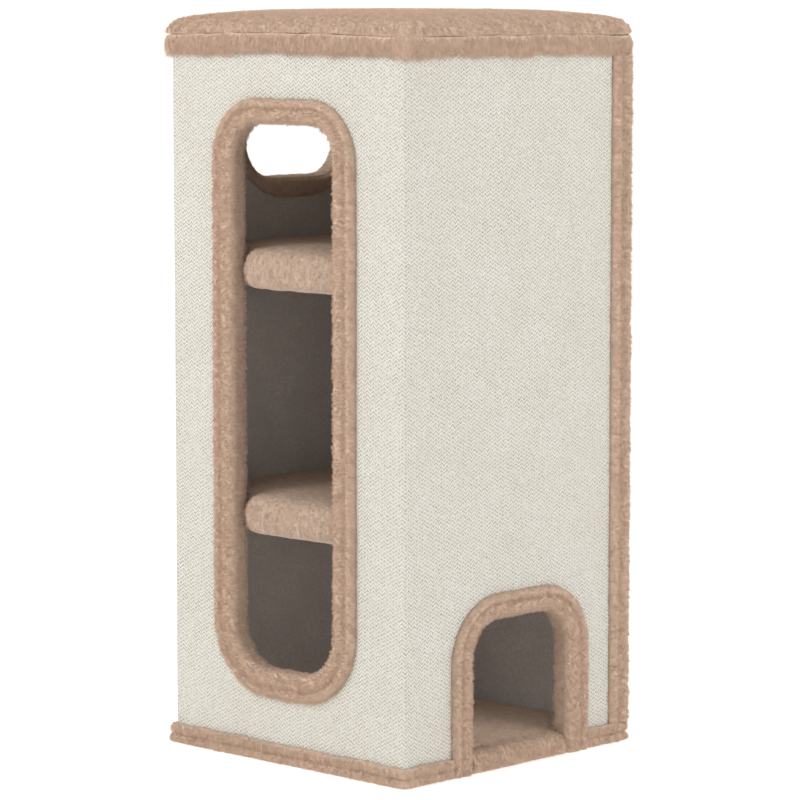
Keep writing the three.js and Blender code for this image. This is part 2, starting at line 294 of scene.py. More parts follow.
def square_path(half, radius, gap):
    """A rounded square in plan from the +X side, counter-clockwise; gap leaves the +X side open as far
    as its first number on the +Y side and its second on the -Y side."""
    pts = []
    straight = half - radius
    first, last = gap if gap is not None else (0.0, 0.0)

    def line(p, q, n, end=False):
        for k in range(n + (1 if end else 0)):
            t = k / n
            pts.append((p[0] + (q[0] - p[0]) * t, p[1] + (q[1] - p[1]) * t))

    def arc(cx, cy, a0):
        for k in range(CORNER_POINTS):
            a = math.radians(a0 + 90 * k / CORNER_POINTS)
            pts.append((cx + radius * math.cos(a), cy + radius * math.sin(a)))

    line((half, first), (half, straight), SIDE_POINTS // 2)
    arc(straight, straight, 0)
    line((straight, half), (-straight, half), SIDE_POINTS)
    arc(-straight, straight, 90)
    line((-half, straight), (-half, -straight), SIDE_POINTS)
    arc(-straight, -straight, 180)
    line((-straight, -half), (straight, -half), SIDE_POINTS)
    arc(straight, -straight, 270)
    line((half, -straight), (half, -last), SIDE_POINTS // 2, gap is not None)
    return np.array(pts)


# how much a sewn joint puffs the pile up and pulls it in, and how far along that reaches
PUFF, PUFF_REACH = 2.4, 11
PINCH, PINCH_REACH = 4.4, 2.6


def joint_lift(p, joints):
    """A sewn joint pulls the pile in along a line and puffs it up on both sides."""
    lift = 0.0
    for jx, jy in joints:
        along = math.hypot(p[0] - jx, p[1] - jy)
        puff = PUFF * math.exp(-((along / PUFF_REACH) ** 2))
        lift += puff - PINCH * math.exp(-((along / PINCH_REACH) ** 2))
    return lift


def band(name, section, seed, gap=None, wander=(0, 0), joints=(), sag=lambda x, y: 0.0):
    """section is (out, up, shown) in mm, with out measured from the tower's middle. wander is how far
    its lower and upper edges stray up and down, sag how far it bows up; joints are where it is sewn."""
    cols = []
    for out, up, _ in section:
        p = square_path(out, 1.5 + max(0, out - SISAL_FACE), gap)
        cols.append(np.column_stack([p, np.full(len(p), up)]))
    points = np.stack(cols, 1)
    low, high = points[..., 2].min(), points[..., 2].max()
    for row in points:
        x, y = row[0][:2]
        stray = [noise.noise(Vector((x / 38.0, y / 38.0, k * 7.3 + seed))) for k in (0, 1)]
        share = (row[:, 2] - low) / (high - low)
        row[:, 2] += wander[0] * stray[0] * (1 - share) + wander[1] * stray[1] * share
        lift = joint_lift((x, y), joints)
        out = np.abs(row[:, :2]).max(1) > SISAL_FACE + 1.5
        row[out, :2] *= 1 + lift / BAND_HALF
        row[:, 2] += sag(np.float64(x), np.float64(y))
    return sweep(name, points, [v for *_, v in section], gap is None, seed, rough=0.8)


def two_rolls(low, seam, high, out):
    """The section of a band of two rolls, one from low to seam and one from seam to high."""
    s = []
    for foot, top, start, turn, stand in ((low, seam, 0.06, 0.82, 1.2), (seam, high, 0.12, 0.86, 0.4)):
        mid, half = (foot + top) / 2, (top - foot) / 2
        for k in range(9):
            a = math.pi * (start + turn * k / 8)
            s.append((SISAL_FACE + stand + out * math.sin(a) ** 0.7, mid - half * math.cos(a), 1))
    return s + [(SISAL_FACE, up, 0) for up in (high - 2, (low + high) / 2, low + 1)]


base_low, base_high = node_mm("base_band")
lid_low, lid_high = node_mm("lid_band")
base_band = band(
    "plush_base_band",
    two_rolls(base_low[2], seam=11.5, high=base_high[2] + 0.5, out=5.2),
    seed=4,
    gap=(DOOR_WIDE[0] + 1.5, DOOR_WIDE[0] - 6.5),
    wander=(0, 2.4),
    joints=((-120.0, -217.0), (217.0, 190.0)),
)
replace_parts(base_band, "base_band")

SIDE_FROM = 185  # a point of the lid's edge further out than this lies along that side
WINDOW_BOW, OTHER_BOW = 4.2, 1.4  # how far the lid's edge rises in the middle of its sides


def lid_sag(x, y):
    """The lid's edge bows up along the middle of the window side, and less elsewhere."""
    on_y, on_x = np.abs(y) > SIDE_FROM, np.abs(x) > SIDE_FROM
    bow = np.where(y < -SIDE_FROM, WINDOW_BOW, OTHER_BOW) * on_y + OTHER_BOW * ~on_y * on_x
    along = np.where(on_y, x, y)
    return bow * (1 - (along / BAND_HALF) ** 2)


def one_roll(low, high, out):
    """The lid band's section: one roll, its upper half blunter than its lower."""
    s = []
    mid, half = (low + high) / 2, (high - low) / 2 + 0.8
    for k in range(15):
        a = math.pi * (0.02 + 0.93 * k / 14)
        power = 0.62 if k < 7 else 0.3
        s.append((SISAL_FACE - 0.2 + out * math.sin(a) ** power, mid + 0.8 - half * math.cos(a), 1))
    return s + [(SISAL_FACE, mid + up, 0) for up in (8, 0, -8)]


LID_JOINTS = ((216.0, -217.0), (-86.0, -217.0), (-217.0, 150.0))
lid_roll = one_roll(lid_low[2], lid_high[2], out=6.8)
lid_band = band("plush_lid_band", lid_roll, seed=5, wander=(3.2, 1.6), joints=LID_JOINTS, sag=lid_sag)
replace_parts(lid_band, "lid_band")


def joint_strip():
    """Plush down the corner, over the meeting ends of the sisal mat: a round roll on the corner
    itself and a flatter one beside it on each wall."""
    low, high = node_mm("joint_strip")
    z = np.linspace(low[2] + 0.3, high[2] - 0.3, 250)
    start, face = low[0], SISAL_FACE
    centre, radius = face - 3, 10.2

    def side_roll(x):
        """(out, along) on the roll beside the corner, x from its edge to its groove."""
        lift = 5.9 * max(0, math.sin(math.pi * (0.93 * x))) ** 0.6
        return face - 0.3 + lift, start + 18 * x

    section = [(*side_roll(k / 7), 1) for k in range(8)]
    for k in range(9):
        a = math.radians(-8 + 106 * k / 8)
        section.append((centre + radius * math.cos(a), centre + radius * math.sin(a), 1))
    section += [(*side_roll(1 - k / 7)[::-1], 1) for k in range(8)]
    section += [(start + 4, face, 0), (face - 6, face, 0), (face, face, 0)]
    section += [(face, face - 6, 0), (face, start + 4, 0)]
    points = np.zeros((len(z), len(section), 3))
    for j, (x, y, _) in enumerate(section):
        points[:, j, 0], points[:, j, 1], points[:, j, 2] = x, y, z
    for i, h in enumerate(z):
        sway = 3.2 * noise.noise(Vector((h / 160.0, 3.1, 0)))
        sway += 1.2 * noise.noise(Vector((h / 30.0, 9.1, 0)))
        for j, (x, y, shown) in enumerate(section):
            if shown and y < face - 8 and x > face:
                points[i, j, 1] += sway * (1 - (y - start) / 22)
            if shown and x < face - 8 and y > face:
                points[i, j, 0] += sway * (1 - (x - start) / 22)
    shown = [v for *_, v in section]
    return sweep("plush_joint_strip", points, shown, closed_path=False, seed=6, rough=0.9, flip=True)


strip = joint_strip()
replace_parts(strip, "joint_strip")


# --- padded pieces: pillows over a plan, then plumped by a cloth simulation -----


def plan_grid(loop, step):
    """The plan polygon filled with points about step apart, triangulated."""
    loop = np.array(loop, float)
    ring = []
    for a, b in zip(loop, np.roll(loop, -1, 0)):
        n = max(1, int(round(np.linalg.norm(b - a) / step)))
        for k in range(n):
            ring.append(a + (b - a) * k / n)
    ring = np.array(ring)
    x0, y0 = loop.min(0)
    x1, y1 = loop.max(0)
    xs = np.arange(x0 + step / 2, x1, step)
    ys = np.arange(y0 + step / 2, y1, step * 0.87)
    inner = []
    for r, y in enumerate(ys):
        for x in xs + (step / 2 if r % 2 else 0):
            inner.append((x, y))
    inner = np.array(inner)
    keep = inside(loop, inner) & (edge_distance(loop, inner).min(1) > step * 0.45)
    pts = np.vstack([ring, inner[keep]])
    edges = [(i, (i + 1) % len(ring)) for i in range(len(ring))]
    out, _, faces, *_ = delaunay_2d_cdt([Vector(p) for p in pts], edges, [], 1, 1e-6)
    flat = np.array([(p.x, p.y) for p in out])
    a, b = flat[faces[0][1]] - flat[faces[0][0]], flat[faces[0][2]] - flat[faces[0][0]]
    turn = 1 if a[0] * b[1] > a[1] * b[0] else -1
    return flat, [tuple(f)[::turn] for f in faces]


def inside(loop, pts):
    """Whether each point lies inside the loop."""
    x, y = pts[:, 0], pts[:, 1]
    found = np.zeros(len(pts), bool)
    for (x0, y0), (x1, y1) in zip(loop, np.roll(loop, -1, 0)):
        cross = (y0 > y) != (y1 > y)
        with np.errstate(divide="ignore", invalid="ignore"):
            at = (x1 - x0) * (y - y0) / (y1 - y0) + x0
        found ^= cross & (x < at)
    return found


def edge_distance(loop, pts):
    """Distance of each point from each edge of the loop."""
    out = []
    for a, b in zip(loop, np.roll(loop, -1, 0)):
        d = b - a
        t = np.clip(((pts - a) @ d) / max(d @ d, 1e-9), 0, 1)
        out.append(np.linalg.norm(pts - (a + t[:, None] * d), axis=1))
    return np.stack(out, 1)


def pillow(
    name, loop, radii, mid, up, down, crown, step, crown_at=(0, 0), crown_span=180, full=2.0, boxy=2.0
):
    """A closed pad over a plan: it rises from its edge at height mid by up over radii (one per edge),
    falls by down, and its top swells by crown over crown_span round crown_at. full makes its sides
    steeper, and boxy its swell flatter in the middle."""
    loop = np.array(loop, float)
    radii = np.array(radii, float)
    flat, faces = plan_grid(loop, step)
    dist = edge_distance(loop, flat)
    share = np.clip(dist / radii[None, :], 0, 1)
    rise = ((1 - (1 - share) ** full) ** (1 / full)).min(1)
    centre = np.clip(1 - (np.abs(flat - np.array(crown_at)) / crown_span) ** boxy, 0, 1).prod(1)
    top = mid + rise * up + crown * centre
    bottom = mid - rise * down
    verts = [(p[0], p[1], h) for p, h in zip(flat, top)]
    other = list(range(len(flat)))
    for i in np.nonzero(rise > 1e-6)[0]:
        other[i] = len(verts)
        verts.append((flat[i][0], flat[i][1], bottom[i]))
    whole = list(faces) + [tuple(other[i] for i in f[::-1]) for f in faces]
    return link(name, np.array(verts) * MM, whole)


def read_points(mesh):
    co = np.empty(len(mesh.vertices) * 3)
    mesh.vertices.foreach_get("co", co)
    return co.reshape(-1, 3)


def write_points(mesh, co):
    mesh.vertices.foreach_set("co", np.asarray(co, float).ravel())
    mesh.update()


def baked(obj):
    """The object's shape with its modifiers, as a new mesh."""
    made = bpy.data.meshes.new_from_object(obj.evaluated_get(bpy.context.evaluated_depsgraph_get()))
    obj.modifiers.clear()
    return made


FILL_FRAMES = 20


def filled(obj):
    """Where the cover's points go when it is filled and pressed outwards from inside."""
    body = bpy.data.objects.new("filling", obj.data.copy())
    scene.collection.objects.link(body)
    cloth = body.modifiers.new("cover", "CLOTH")
    cloth.settings.quality = 5
    cloth.settings.mass = 0.3
    cloth.settings.tension_stiffness = 12
    cloth.settings.compression_stiffness = 12
    cloth.settings.bending_stiffness = 0.6
    cloth.settings.use_pressure = True
    cloth.settings.uniform_pressure_force = 4
    cloth.settings.effector_weights.gravity = 0
    cloth.point_cache.frame_start = 1
    cloth.point_cache.frame_end = FILL_FRAMES
    for k in range(1, FILL_FRAMES + 1):
        scene.frame_set(k)
    end = body.evaluated_get(bpy.context.evaluated_depsgraph_get()).to_mesh()
    moved = read_points(end)
    scene.frame_set(1)
    bpy.data.objects.remove(body)
    return moved


def plump(obj, low, high, give, seed, rough, voxel=5.5, most=3.0, joints=(), bare=0.0):
    """Evens the cover's mesh, fills it, and gives it its pile. low and high are the box it stays in,
    in mm, give(x, y) the share of the sideways swelling that is let through, most the cap in mm.
    No hair grows below the height bare."""
    even = obj.modifiers.new("even", "REMESH")
    even.mode = "VOXEL"
    even.voxel_size = voxel * MM
    obj.data = baked(obj)
    rest = read_points(obj.data) / MM
    step = filled(obj) / MM - rest
    far = np.linalg.norm(step, axis=1, keepdims=True)
    step *= np.minimum(1, most / np.maximum(far, 1e-6))
    step[:, :2] *= give(rest[:, 0], rest[:, 1])[:, None]
    rest = np.clip(rest + step, low, high)
    write_points(obj.data, rest * MM)
    finer = obj.modifiers.new("finer", "SUBSURF")
    finer.levels = finer.render_levels = 1
    obj.data = baked(obj)
    obj.data.shade_smooth()
    normals = np.array([v.normal[:] for v in obj.data.vertices])
    co = read_points(obj.data) / MM
    lift = np.array([clump(q, seed) * rough + joint_lift(q, joints) for q in co])
    co += normals * lift[:, None]
    write_points(obj.data, co * MM)
    pile = obj.vertex_groups.new(name="pile")
    shown = np.nonzero((normals[:, 2] > -0.5) | (co[:, 2] > low[2] + 6))[0]
    pile.add([int(k) for k in shown if co[k, 2] > bare], 1.0, "REPLACE")
    return obj


def rounded_corner(cx, cy, r, a0, n=7):
    """A quarter turn of points from the angle a0."""
    angles = [math.radians(a0 + 90 * k / n) for k in range(n + 1)]
    return [(cx + r * math.cos(a), cy + r * math.sin(a)) for a in angles]


# how far out the inner covers reach, just clear of the battens and of the lining
BATTEN_IN = node_mm("batten_front")[0][0] - 1.6
WALL_IN = LINING_IN - 1.2


def shelf_loop(front, tongue_half, passage):
    """A shelf's plan with its tongue in the window, notches for the battens and the way up cut out.
    Returns the loop and each edge's rounding radius."""
    tongue_r, passage_r, shoulder = 15, 30, -180
    front_round, tongue_round, side_round, back_round = 20, 19, 14, 8
    loop, radii = [], []

    def to(points, radius):
        for p in points:
            loop.append(p)
            radii.append(radius)

    to([(-BATTEN_IN, shoulder), (-tongue_half, shoulder)], front_round)
    to(rounded_corner(-tongue_half + tongue_r, front + tongue_r, tongue_r, 180), tongue_round)
    to(rounded_corner(tongue_half - tongue_r, front + tongue_r, tongue_r, 270), tongue_round)
    to([(tongue_half, shoulder)], front_round)
    to([(BATTEN_IN, shoulder), (BATTEN_IN, -BATTEN_IN), (WALL_IN, -BATTEN_IN)], back_round)
    to([(WALL_IN, passage)], side_round)
    to(rounded_corner(passage + passage_r, passage + passage_r, passage_r, 270)[::-1], side_round)
    to([(passage, WALL_IN), (-BATTEN_IN, WALL_IN), (-BATTEN_IN, BATTEN_IN)], back_round)
    to([(-WALL_IN, BATTEN_IN), (-WALL_IN, -BATTEN_IN), (-BATTEN_IN, -BATTEN_IN)], back_round)
    return loop, radii


TONGUE_FROM = -186  # a shelf's plush is in the window's opening beyond this


def shelf_cover(level, seed):
    """A shelf's plush, its tongue a tight fit between the window's trims."""
    low, high = node_mm(f"shelf_{level}_cover")
    loop, radii = shelf_loop(front=low[1] - 1.5, tongue_half=WINDOW[0] + 1.8, passage=13)
    tall = high[2] - low[2]
    obj = pillow(
        f"plush_shelf_{level}", loop, radii,
        mid=low[2] + tall * 0.46, up=tall * 0.54 - 4, down=tall * 0.45, crown=2.5, step=6.0,
        crown_at=(-40, -60), crown_span=200, full=2.7,
    )
    edge = WINDOW[0] + 2.6
    box = (np.array([-WALL_IN, low[1] - 3, low[2]]), np.array([WALL_IN, WALL_IN, high[2] + 2]))
    plump(obj, *box, give=lambda x, y: np.where(y < TONGUE_FROM, 0.7, 0.05), seed=seed, rough=0.9)
    co = read_points(obj.data) / MM
    tongue = co[:, 1] < TONGUE_FROM
    co[tongue, 0] = np.clip(co[tongue, 0], -edge, edge)
    write_points(obj.data, co * MM)
    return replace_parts(obj, f"shelf_{level}_cover")


shelves = [shelf_cover("lower", seed=7), shelf_cover("upper", seed=8)]


def lid_cushion():
    """The lid's plush from its seam over the band: a soft edge, then a broad crown."""
    high = node_mm("lid_cushion")[1]
    half = high[0] + 0.3
    seam = lid_high[2] + 0.2
    r = 9
    loop = []
    for sx, sy, a0 in ((1, 1, 0), (-1, 1, 90), (-1, -1, 180), (1, -1, 270)):
        loop += rounded_corner(sx * (half - r), sy * (half - r), r, a0)
    edge, rise = 2.6, 16.5
    crown = high[2] - seam - edge - rise - 5.5
    obj = pillow(
        "plush_lid", loop, [19] * len(loop),
        mid=seam + edge, up=rise, down=edge + 1.2, crown=crown, step=5.0,
        crown_span=half, full=2.3, boxy=5.0,
    )
    box = (np.array([-half - 1, -half - 1, seam - 1.2]), np.array([half + 1, half + 1, high[2] + 2]))
    plump(
        obj, *box, give=lambda x, y: np.full(len(x), 0.6),
        seed=9, rough=1.0, voxel=4.6, joints=LID_JOINTS[:1], bare=seam + 2.2,
    )
    co = read_points(obj.data) / MM
    rim = 1 - hill(co[:, 2], seam, seam + 16)
    co[:, 2] += lid_sag(co[:, 0], co[:, 1]) * rim
    write_points(obj.data, co * MM)
    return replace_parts(obj, "lid_cushion")


lid = lid_cushion()


def floor_pad():
    """The floor's plush between the walls, notched round the battens."""
    high = node_mm("floor_pad")[1]
    b, w = BATTEN_IN, WALL_IN
    loop = [(-b, -w), (b, -w), (b, -b), (w, -b), (w, b), (b, b)]
    loop += [(-x, -y) for x, y in loop]
    base = 16.4
    obj = pillow(
        "plush_floor", loop, [7] * len(loop),
        mid=base + 3.4, up=high[2] - base - 4.4, down=3.2, crown=0.6, step=6.0,
    )
    box = (np.array([-w, -w, base]), np.array([w, w, high[2] + 1.5]))
    return plump(
        obj, *box, give=lambda x, y: np.full(len(x), 0.05),
        seed=10, rough=0.8, voxel=4.5, most=1.5,
    )


BEND = 15.0  # radius of the plush over the door sill


def threshold():
    """The floor's plush where it runs out of the door and down over the base's edge."""
    low, high = node_mm("floor_pad")
    top, face, board = high[2], high[0], node_mm("base_board")[1][0] + 0.4
    back, under = LINING_IN - 16, 16.6
    section = [(back, top - 5.0, 0.5), (LINING_IN - 10, top - 1.0, 1)]
    for x in np.linspace(LINING_IN - 2, face - BEND, 4):
        section.append((x, top - 0.4, 1))
    for k in range(1, 6):
        a = math.pi / 2 * k / 5
        section.append((face - BEND + (BEND - 1) * math.sin(a), top - BEND + (BEND - 0.4) * math.cos(a), 1))
    for z in np.linspace(top - BEND - 3, 3, 3):
        section.append((face - 1, z, 1))
    section += [(face - 2, low[2] + 0.5, 0.4), (board, low[2] + 0.3, 0)]
    section += [(board, 8, 0), (board, under, 0), (back, under, 0)]
    y = np.linspace(-DOOR[0] + 0.8, DOOR[0] - 0.8, 58)
    points = np.zeros((len(y), len(section), 3))
    for j, (x, z, _) in enumerate(section):
        points[:, j, 0], points[:, j, 1], points[:, j, 2] = x, y, z
    shown = [v for *_, v in section]
    return sweep("plush_threshold", points, shown, closed_path=False, seed=11, rough=0.7, flip=True)


floor_cover = floor_pad()
sill = threshold()
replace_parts(floor_cover, "floor_pad")
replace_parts(sill, "floor_pad")


# --- thin cut sheets: the sisal mat and the felt linings -----------------------


def cut_sheet(outer, holes, step, bends=()):
    """Points and triangles of a flat cut with holes, about step apart and finer across the bends."""
    rings, edges, base = [], [], 0
    loops = [np.array(outer, float)] + [np.array(h, float) for h in holes]
    for loop in loops:
        ring = []
        for a, b in zip(loop, np.roll(loop, -1, 0)):
            n = max(1, int(round(np.linalg.norm(b - a) / step)))
            ring += [a + (b - a) * k / n for k in range(n)]
        edges += [(base + i, base + (i + 1) % len(ring)) for i in range(len(ring))]
        base += len(ring)
        rings += ring
    low, high = loops[0].min(0), loops[0].max(0)
    gx = np.arange(low[0] + step / 2, high[0], step)
    for a, b in bends:
        gx = np.concatenate([gx[(gx < a - 1) | (gx > b + 1)], np.linspace(a, b, 9)])
    gy = np.arange(low[1] + step / 2, high[1], step)
    grid = np.array([(x, y) for y in gy for x in gx])
    near = np.stack([edge_distance(loop, grid).min(1) for loop in loops], 1).min(1)
    grid = grid[near > step * 0.4]
    pts = np.vstack([np.array(rings), grid])
    out, _, faces, *_ = delaunay_2d_cdt([Vector(p) for p in pts], edges, [], 0, 1e-6)
    flat = np.array([(p.x, p.y) for p in out])
    tri = np.array([tuple(f) for f in faces])
    mid = flat[tri].mean(1)
    keep = inside(loops[0], mid)
    for hole in loops[1:]:
        keep &= ~inside(hole, mid)
    tri = tri[keep]
    used = np.unique(tri)
    index = np.full(len(flat), -1)
    index[used] = np.arange(len(used))
    flat, tri = flat[used], index[tri]
    a, b = flat[tri[:, 1]] - flat[tri[:, 0]], flat[tri[:, 2]] - flat[tri[:, 0]]
    signed = (a[:, 0] * b[:, 1] - a[:, 1] * b[:, 0]) / 2
    tri[signed < 0] = tri[signed < 0][:, ::-1]
    return flat, [tuple(t) for t in tri], float(np.abs(signed).sum())


def thin(name, verts, faces, thickness):
    """A sheet whose outer side is verts, given a thickness inwards, in mm."""
    obj = link(name, verts * MM, faces)
    solid = obj.modifiers.new("thickness", "SOLIDIFY")
    solid.thickness = thickness * MM
    solid.offset = -1
    return obj


HOLE_COUNTS = (20, 6, 8)
CUT_BACK = 7  # the sheets are cut this far outside the openings
PAST_EDGE = 20  # the door's cut runs this far past a sheet's lower edge
MAT_BEND = 5.0  # the mat's radius round a corner
MAT_RUN = 2 * (MAT_HALF - MAT_BEND)  # flat length on one wall
MAT_ARC = MAT_BEND * math.pi / 2  # length round one corner
MAT_LAP = 4.0  # how far each of its ends stays short of the corner
SIDES = ("door", "window", "hole", "plain")


def mat_place(s):
    """Where a length along the mat falls in plan, and which way it faces."""
    turn, rest = divmod(s + MAT_LAP, MAT_RUN + MAT_ARC)
    turn = int(min(turn, 3))
    rest = s + MAT_LAP - turn * (MAT_RUN + MAT_ARC)
    flat = MAT_HALF - MAT_BEND
    if rest <= MAT_RUN:
        x, y, a = MAT_HALF, flat - rest, 0.0
    else:
        a = -(rest - MAT_RUN) / MAT_BEND
        x, y = flat + MAT_BEND * math.cos(a), -flat + MAT_BEND * math.sin(a)
    c, d = math.cos(-math.pi / 2 * turn), math.sin(-math.pi / 2 * turn)
    n = (math.cos(a), math.sin(a))
    return (x * c - y * d, x * d + y * c), (n[0] * c - n[1] * d, n[0] * d + n[1] * c)


def side_middle(wall):
    """The length along the mat at the middle of a wall."""
    return SIDES.index(wall) * (MAT_RUN + MAT_ARC) + MAT_RUN / 2 - MAT_LAP


def sisal_mat():
    """One length of matting round the four walls, cut out at the openings."""
    length = 4 * MAT_RUN + 3 * MAT_ARC - 2 * MAT_LAP
    low, high = MAT_LOW[2] + 0.3, MAT_HIGH[2] - 0.3
    holes = []
    for wall, shape in (("window", WINDOW), ("hole", HOLE), ("door", DOOR)):
        foot = low - PAST_EDGE if wall == "door" else None
        loop = outline(*grown(shape, CUT_BACK), HOLE_COUNTS, foot)
        holes.append(np.column_stack([side_middle(wall) - loop[:, 0], loop[:, 1]]))
    outer = [(0, low), (length, low), (length, high), (0, high)]
    turns = [(k + 1) * (MAT_RUN + MAT_ARC) for k in range(3)]
    bends = [(turn - MAT_ARC - MAT_LAP, turn - MAT_LAP) for turn in turns]
    flat, faces, area = cut_sheet(outer, holes, 6.5, bends)
    verts, along = [], []
    for s, z in flat:
        (x, y), (nx, ny) = mat_place(s)
        slack = 0.45 * (noise.noise(Vector((s / 90.0, z / 130.0, 0.7))) - 0.75)
        verts.append((x + nx * slack, y + ny * slack, z))
        along.append(s)
    obj = thin("sisal_mat", np.array(verts), [f[::-1] for f in faces], thickness=4.2)
    u = obj.data.attributes.new("wrap_u", "FLOAT", "POINT")
    u.data.foreach_set("value", np.array(along, np.float32) * MM)
    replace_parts(obj, "sisal_wrap")
    return obj


mat = sisal_mat()


def felt(wall, shape):
    """One wall's lining, a cut of felt glued flat, with a little ripple."""
    low, high = node_mm(f"lining_{wall}")
    span = (high - low)[:2].max() / 2 - 0.4
    z0, z1 = low[2] + 0.4, high[2] - 0.4
    holes = []
    if shape is not None:
        foot = z0 - PAST_EDGE if wall == "door" else None
        holes.append(outline(*grown(shape, CUT_BACK), HOLE_COUNTS, foot))
    outer = [(-span, z0), (span, z0), (span, z1), (-span, z1)]
    flat, faces, area = cut_sheet(outer, holes, 14)
    verts = []
    for u, z in flat:
        ripple = 0.35 * noise.noise(Vector((u / 60.0, z / 70.0, 5.0 + span)))
        verts.append(on_wall(wall, u, z, LINING_IN + 0.5 + ripple))
    obj = thin(f"felt_{wall}", np.array(verts), [f[::-1] for f in faces], thickness=1.5)
    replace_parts(obj, f"lining_{wall}")
    return obj


felts = [felt("window", WINDOW), felt("door", DOOR), felt("hole", HOLE), felt("plain", None)]


# --- materials -------------------------------------------------------------------


class Look:
    """A small builder for one procedural material. color is what shows where its nodes aren't read."""

    def __init__(self, name, color, rough):
        self.mat = bpy.data.materials.new(name)
        self.mat.use_nodes = True
        self.tree = self.mat.node_tree
        self.bsdf = self.tree.nodes["Principled BSDF"]
        self.bsdf.inputs["Base Color"].default_value = (*color, 1)
        self.bsdf.inputs["Roughness"].default_value = rough
        self.place = self.tree.nodes.new("ShaderNodeTexCoord").outputs["Object"]

    def put(self, socket, value):
        if isinstance(value, bpy.types.NodeSocket):
            self.tree.links.new(value, socket)
        elif value is not None:
            socket.default_value = value

    def stretch(self, scale):
        node = self.tree.nodes.new("ShaderNodeMapping")
        self.put(node.inputs["Vector"], self.place)
        node.inputs["Scale"].default_value = scale
        return node.outputs[0]

    def noise(self, scale, detail=2.0, vector=None, rough=0.5):
        node = self.tree.nodes.new("ShaderNodeTexNoise")
        self.put(node.inputs["Vector"], vector or self.place)
        node.inputs["Scale"].default_value = scale
        node.inputs["Detail"].default_value = detail
        node.inputs["Roughness"].default_value = rough
        return node.outputs[0]

    def math(self, what, a, b=None):
        node = self.tree.nodes.new("ShaderNodeMath")
        node.operation = what
        for socket, value in zip(node.inputs, (a, b)):
            self.put(socket, value)
        return node.outputs[0]

    def spread(self, value, low, high, to_low=0.0, to_high=1.0):
        node = self.tree.nodes.new("ShaderNodeMapRange")
        for k, v in zip(range(5), (value, low, high, to_low, to_high)):
            self.put(node.inputs[k], v)
        return node.outputs[0]

    def blend(self, factor, a, b):
        node = self.tree.nodes.new("ShaderNodeMix")
        node.data_type = "RGBA"
        self.put(node.inputs[0], factor)
        for k, v in ((6, a), (7, b)):
            self.put(node.inputs[k], v if isinstance(v, bpy.types.NodeSocket) else (*v, 1))
        return node.outputs[2]

    def bump(self, height, strength, distance):
        node = self.tree.nodes.new("ShaderNodeBump")
        node.inputs["Strength"].default_value = strength
        node.inputs["Distance"].default_value = distance
        self.put(node.inputs["Height"], height)
        self.put(self.bsdf.inputs["Normal"], node.outputs[0])

    def color(self, value):
        self.put(self.bsdf.inputs["Base Color"], value)


def plush_look(name, deep, body, tip):
    """The cloth under the pile: painted shade deep between the tufts, body to tip in broad patches."""
    look = Look(name, body, 0.95)
    broad = look.noise(38, 3)
    tufts = look.noise(150, 3, rough=0.62)
    hairs = look.noise(620, 2, rough=0.6)
    soft = look.blend(look.spread(broad, 0.3, 0.7), body, tip)
    height = look.math("ADD", look.math("MULTIPLY", tufts, 0.62), look.math("MULTIPLY", hairs, 0.38))
    # painted shade: the deep tone goes where the tufts' height is low
    shade = look.spread(height, 0.36, 0.56)
    look.color(look.blend(shade, deep, soft))
    look.bump(height, 0.5, 0.0022)
    look.bsdf.inputs["Sheen Weight"].default_value = 0.35
    look.bsdf.inputs["Sheen Roughness"].default_value = 0.55
    look.bsdf.inputs["Sheen Tint"].default_value = (0.95, 0.85, 0.76, 1)
    look.bsdf.inputs["Specular IOR Level"].default_value = 0.15
    return look.mat


SHADED = 0.86  # painted shade: the shelves' plush is a darker copy, a little deeper than the trims'


def shaded(tones):
    """The same tones, a little deeper, as painted shade."""
    return [tuple(SHADED * c for c in tone) for tone in tones]


PLUSH_BODY = (0.59, 0.44, 0.335)
PLUSH_TONES = ((0.47, 0.345, 0.26), PLUSH_BODY, (0.65, 0.495, 0.385))
plush = plush_look("plush", *PLUSH_TONES)
# a darker copy of the plush, painted shade for the shelves inside the tower
plush_shaded = plush_look("plush_shaded", *shaded(PLUSH_TONES))


def hair_look(name, dark, light):
    look = Look(name, PLUSH_BODY, 0.8)
    broad = look.noise(105, 4, rough=0.62)
    look.color(look.blend(look.spread(broad, 0.32, 0.66), dark, light))
    look.bsdf.inputs["Specular IOR Level"].default_value = 0.1
    return look.mat


HAIR_TONES = ((0.575, 0.425, 0.322), (0.745, 0.578, 0.455))
hair_mat = hair_look("plush_hair", *HAIR_TONES)
# a darker copy of the hair, painted shade for the shelves inside the tower
hair_shaded = hair_look("plush_shaded_hair", *shaded(HAIR_TONES))

WEFT = 0.00505  # height of one row of the mat's weave
WARP = 0.0100  # length of one up and down of its yarn
ZIG = 0.0056  # how far a row climbs and falls
# the last tone is painted shade for the weave's gaps and creases
YARN, YARN_DARK, GAP_SHADE_TONE = (0.75, 0.728, 0.668), (0.53, 0.49, 0.41), (0.34, 0.30, 0.228)


